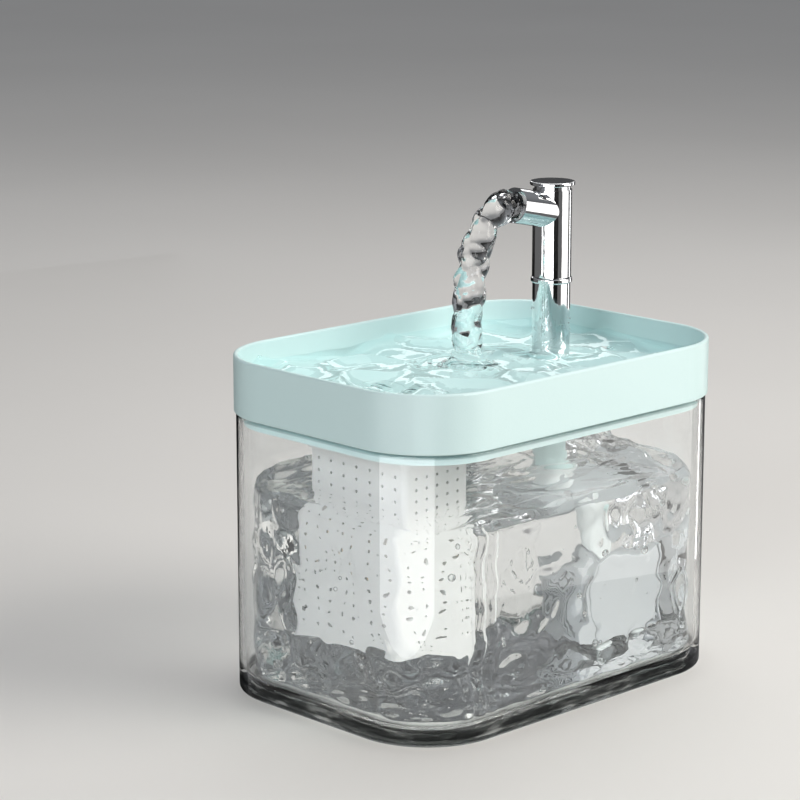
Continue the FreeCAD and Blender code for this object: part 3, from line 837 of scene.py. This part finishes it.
def strew(name, body, surface, finish, density, seed, radii, lift=0.0):
    """A piece of beads strewn over a surface of points and faces, so many to the square metre.

    Each stands off the surface by anything up to the lift, inwards if that is negative."""
    base = add_mesh("surface_of_" + name, *surface, finish)
    modifier = base.modifiers.new("beads", "NODES")
    modifier.node_group = bead_group
    for plug, value in (("Density", density), ("Seed", seed), ("Smallest", radii[0]),
                        ("Largest", radii[1]), ("Lift", lift), ("Finish", finish)):
        modifier[bead_plugs[plug]] = value
    bpy.context.view_layer.update()
    strewn = base.evaluated_get(bpy.context.evaluated_depsgraph_get())
    mesh = bpy.data.meshes.new_from_object(strewn)
    bpy.data.objects.remove(base)
    piece = bpy.data.objects.new(name, mesh)
    show(piece)
    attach(piece, body)


def ring_band(middle, rings, around=24):
    """Points and faces of a band round an upright axis, between two rings of radius and height."""
    turns = [2 * math.pi * number / around for number in range(around)]
    points = [middle + Vector((math.cos(turn) * radius, math.sin(turn) * radius, height)) * MM
              for radius, height in rings for turn in turns]
    faces = [(number, (number + 1) % around, around + (number + 1) % around, around + number)
             for number in range(around)]
    return points, faces


def air_finish():
    recipe = Recipe("air_bubble")
    cloud = recipe.grain(0.01)
    colour = recipe.blend(cloud, (0.95, 0.97, 0.97, 1), (1.0, 1.0, 1.0, 1))
    shader = recipe.surface(colour, 0.005 + 0.005 * cloud, IOR=0.75, Transmission_Weight=1.0)
    return recipe.finish(recipe.let_lamps_through(shader, (0.98, 0.99, 0.99, 1)))


def inside_water(point):
    """A point of the tank's water, brought in a little from its sides."""
    outward = Vector((point.x / block_half_length, point.y / block_half_width, 0.0))
    return point - outward * bubble_inset


air = air_finish()
water_sides = (
    [inside_water(vertex.co) for vertex in tank_water.data.vertices],
    [tuple(face.vertices) for face in tank_water.data.polygons if abs(face.normal.z) < wall_steepness],
)
round_landing = ring_band(landing, ((9.0, 138.3), (24.0, 138.3)))
round_faucet = ring_band(faucet_axis, ((8.3, 140.0), (8.3, 156.0)))
strew("fine_bubbles", "tank", water_sides, air, 3000.0, 11, (0.12 * MM, 0.4 * MM), -4.0 * MM)
strew("large_bubbles", "tank", water_sides, air, 800.0, 5, (0.7 * MM, 2.0 * MM), -2.0 * MM)
strew("splashed_drops", "tray", round_landing, water, 40000.0, 3, (0.4 * MM, 1.2 * MM), 5.0 * MM)
strew("faucet_drops", "tray", round_faucet, water, 60000.0, 7, (0.15 * MM, 0.5 * MM))


# The filter box and its layers: a white moulded drawer with rows of holes, which hangs on rails
# under the tray. In it lie a felt pad, carbon granules, resin beads and a second felt pad.
# The impeller wheel in the pump is moulded from the same white plastic.
def moulded_plastic(name, dark, light, roughness):
    recipe = Recipe(name)
    cloud = recipe.grain(0.03)
    grain = recipe.grain(0.0006)
    colour = recipe.blend(cloud, dark, light)
    return recipe.finish(recipe.surface(colour, roughness + 0.1 * grain, grain, 0.04 * MM))


def loose_layer(name, dark, light, size):
    """Packed grains or felt: a cellular pattern with relief, its colour darker in the gaps between
    grains as painted shade.
    """
    recipe = Recipe(name)
    cells = recipe.cells(size)
    grain = recipe.grain(size * 3)
    # Painted shade: darker towards the gaps between grains, where the relief is lowest, with random
    # tone from noise.
    colour = recipe.blend(cells * 0.7 + grain * 0.3, light, dark)
    return recipe.finish(recipe.surface(colour, 0.75 + 0.15 * grain, 1.0 - cells, size * 0.4))


dress(moulded_plastic("white_plastic", (0.80, 0.80, 0.79, 1), (0.86, 0.86, 0.85, 1), 0.4),
      "filter_box", "impeller_wheel")
dress(loose_layer("filter_felt", (0.72, 0.72, 0.70, 1), (0.90, 0.90, 0.88, 1), 0.6 * MM),
      "lower_filter_pad", "upper_filter_pad")
dress(loose_layer("carbon_granules", (0.01, 0.01, 0.012, 1), (0.06, 0.06, 0.065, 1), 1.4 * MM),
      "carbon_bed")
dress(loose_layer("resin_beads", (0.45, 0.25, 0.06, 1), (0.85, 0.6, 0.25, 1), 0.9 * MM),
      "resin_bed")


# The pump: a grey moulded case on four suction cups, with its motor and rotor inside. A clip-on
# cover holds a foam sponge over its inlet, and soft seals and a sleeve keep its water in.
def soft_rubber(name, dark, light, roughness):
    recipe = Recipe(name)
    bloom = recipe.grain(0.004, 3.0)
    colour = recipe.blend(bloom, dark, light)
    return recipe.finish(recipe.surface(colour, roughness + 0.12 * bloom, bloom, 0.05 * MM))


def drawn_metal(name, dark, light, stretch, metallic=1.0):
    """Metal with fine parallel lines: wire turns, sheet edges or turning marks."""
    recipe = Recipe(name)
    lines = recipe.grain(0.002, 2.0, stretch)
    colour = recipe.blend(lines, dark, light)
    shader = recipe.surface(colour, 0.3 + 0.2 * lines, lines, 0.08 * MM, Metallic=metallic)
    return recipe.finish(shader)


dress(moulded_plastic("grey_plastic", (0.52, 0.54, 0.56, 1), (0.60, 0.62, 0.64, 1), 0.38),
      "pump_body", "motor_cover", "chamber_plate", "intake_cover")
dress(soft_rubber("silicone", (0.72, 0.76, 0.76, 1), (0.82, 0.86, 0.86, 1), 0.3),
      "suction_cups", "outlet_hose", "post_gasket", "chamber_seal")
dress(soft_rubber("black_rubber", (0.012, 0.012, 0.012, 1), (0.03, 0.03, 0.03, 1), 0.5),
      "cable_gland", "swivel_seal", "rear_bush", "front_bush")
dress(loose_layer("filter_foam", (0.01, 0.01, 0.01, 1), (0.07, 0.07, 0.075, 1), 1.1 * MM),
      "intake_sponge")
dress(drawn_metal("copper_wire", (0.45, 0.18, 0.08, 1), (0.75, 0.36, 0.2, 1), (6.0, 0.5, 0.5)),
      "motor_coil")
dress(drawn_metal("steel_sheet", (0.32, 0.33, 0.34, 1), (0.55, 0.56, 0.58, 1), (6.0, 0.4, 0.4)),
      "motor_core", "pump_shaft")
dress(drawn_metal("ferrite", (0.03, 0.03, 0.032, 1), (0.08, 0.08, 0.085, 1), (1.0, 1.0, 1.0), 0.0),
      "rotor_magnet")
